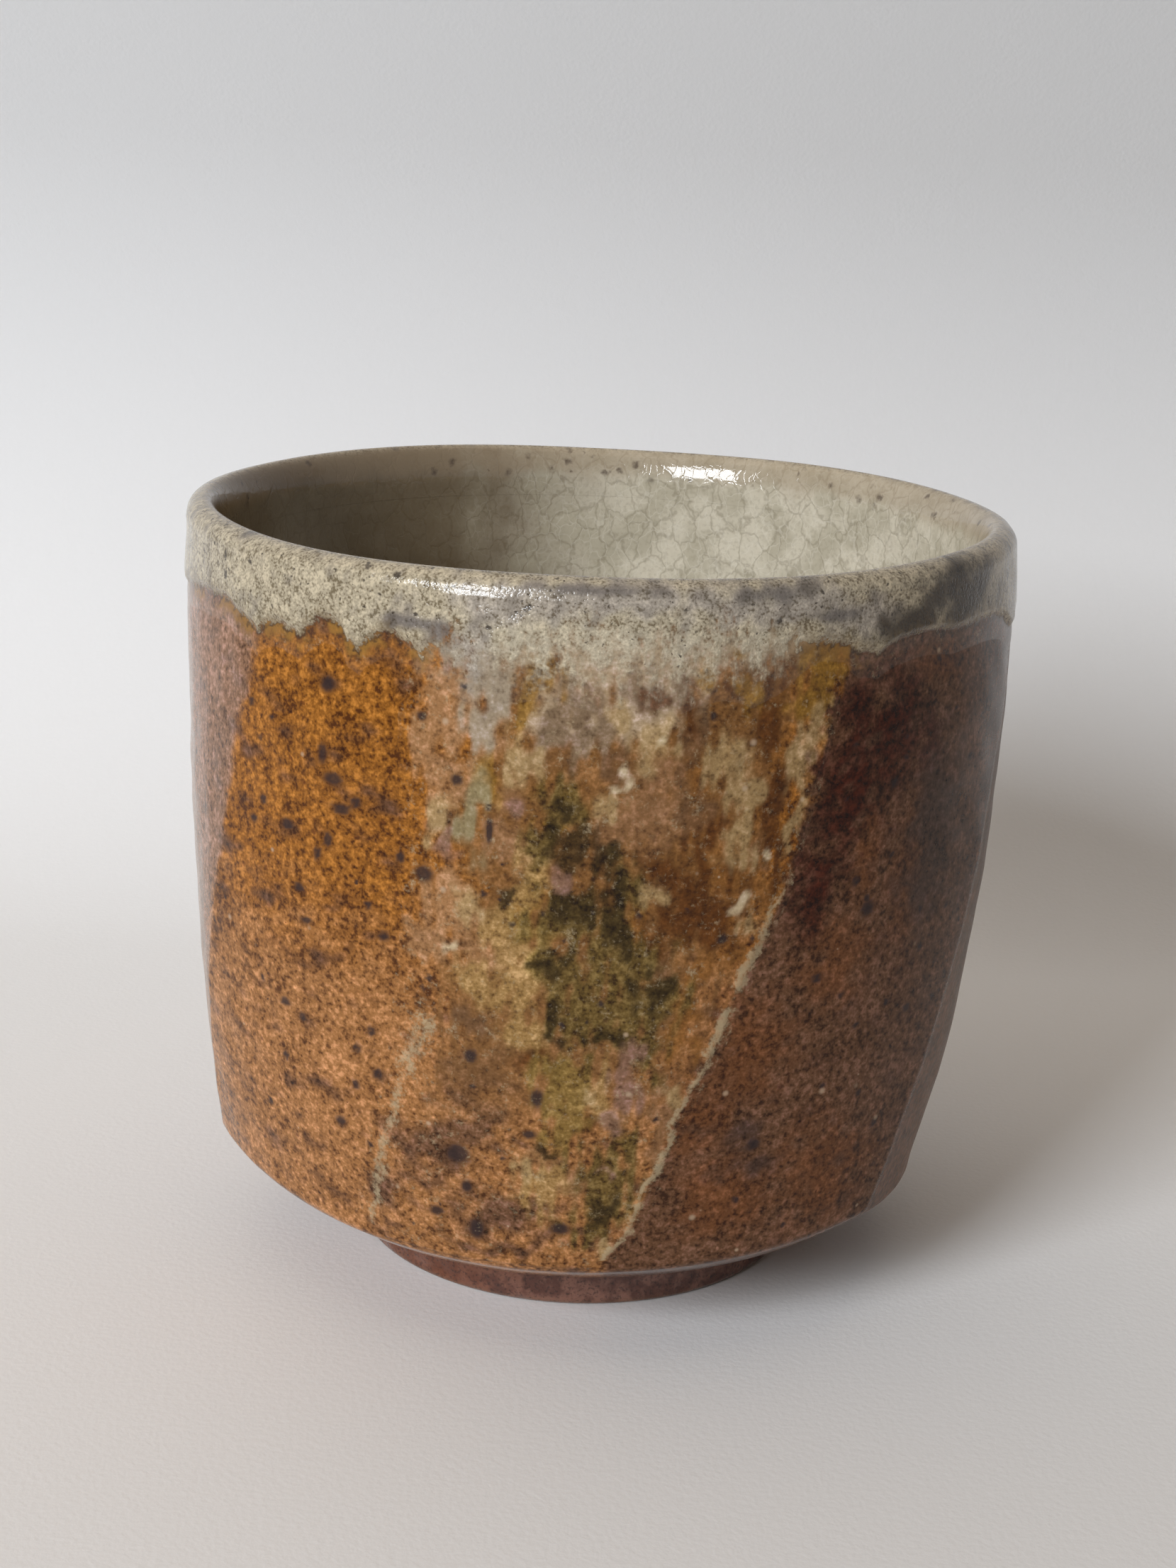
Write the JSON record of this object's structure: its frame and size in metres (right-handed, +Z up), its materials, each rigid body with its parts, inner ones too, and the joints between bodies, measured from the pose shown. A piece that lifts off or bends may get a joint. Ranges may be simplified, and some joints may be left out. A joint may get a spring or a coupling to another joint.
{
  "type": "tea bowl",
  "caption": "Thrown stoneware tea bowl with broad pared faces leaning round its side, a round lip, a turned foot ring and pale, crackled and ash glazes.",
  "frame": {"origin": "centre of the circle that the foot ring stands on", "axes": "+Z up, -Y towards the front face with the ash run"},
  "size_m": [0.1117, 0.1121, 0.1041],
  "materials": {
    "stoneware": "amber-brown vapour glaze, speckled, satin to gloss",
    "foot_clay": "dark maroon-brown, glossy",
    "liner": "grey-beige gloss, fine crackle",
    "lip_coat": "pale putty grey, orange-peel satin with dark specks",
    "ash": "cream, ochre and olive streaks, gloss"
  },
  "bodies": {
    "root": {"stoneware_body": "stoneware", "foot_ring": "foot_clay", "liner_glaze": "liner", "lip_glaze": "lip_coat", "ash_run": "ash"}
  },
  "joints": []
}
